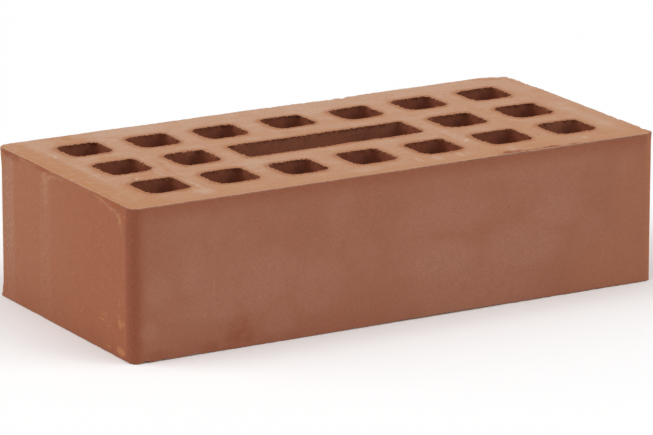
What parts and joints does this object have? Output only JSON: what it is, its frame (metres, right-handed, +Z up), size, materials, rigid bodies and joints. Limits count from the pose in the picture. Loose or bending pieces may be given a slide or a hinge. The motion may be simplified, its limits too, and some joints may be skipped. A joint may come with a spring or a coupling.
{
  "type": "perforated clay brick",
  "caption": "Fired clay facing brick, a long block with rounded standing edges, rows of square vertical holes and a long slot in the middle.",
  "frame": {"origin": "middle of the lower bed face, at the bottom centre of the bounding box", "axes": "+X along the length, +Y across the width towards the back stretcher face, +Z up along the holes"},
  "size_m": [0.25, 0.12, 0.065],
  "materials": {
    "fired_clay": "matte"
  },
  "bodies": {
    "root": {"brick": "fired_clay"}
  },
  "joints": []
}
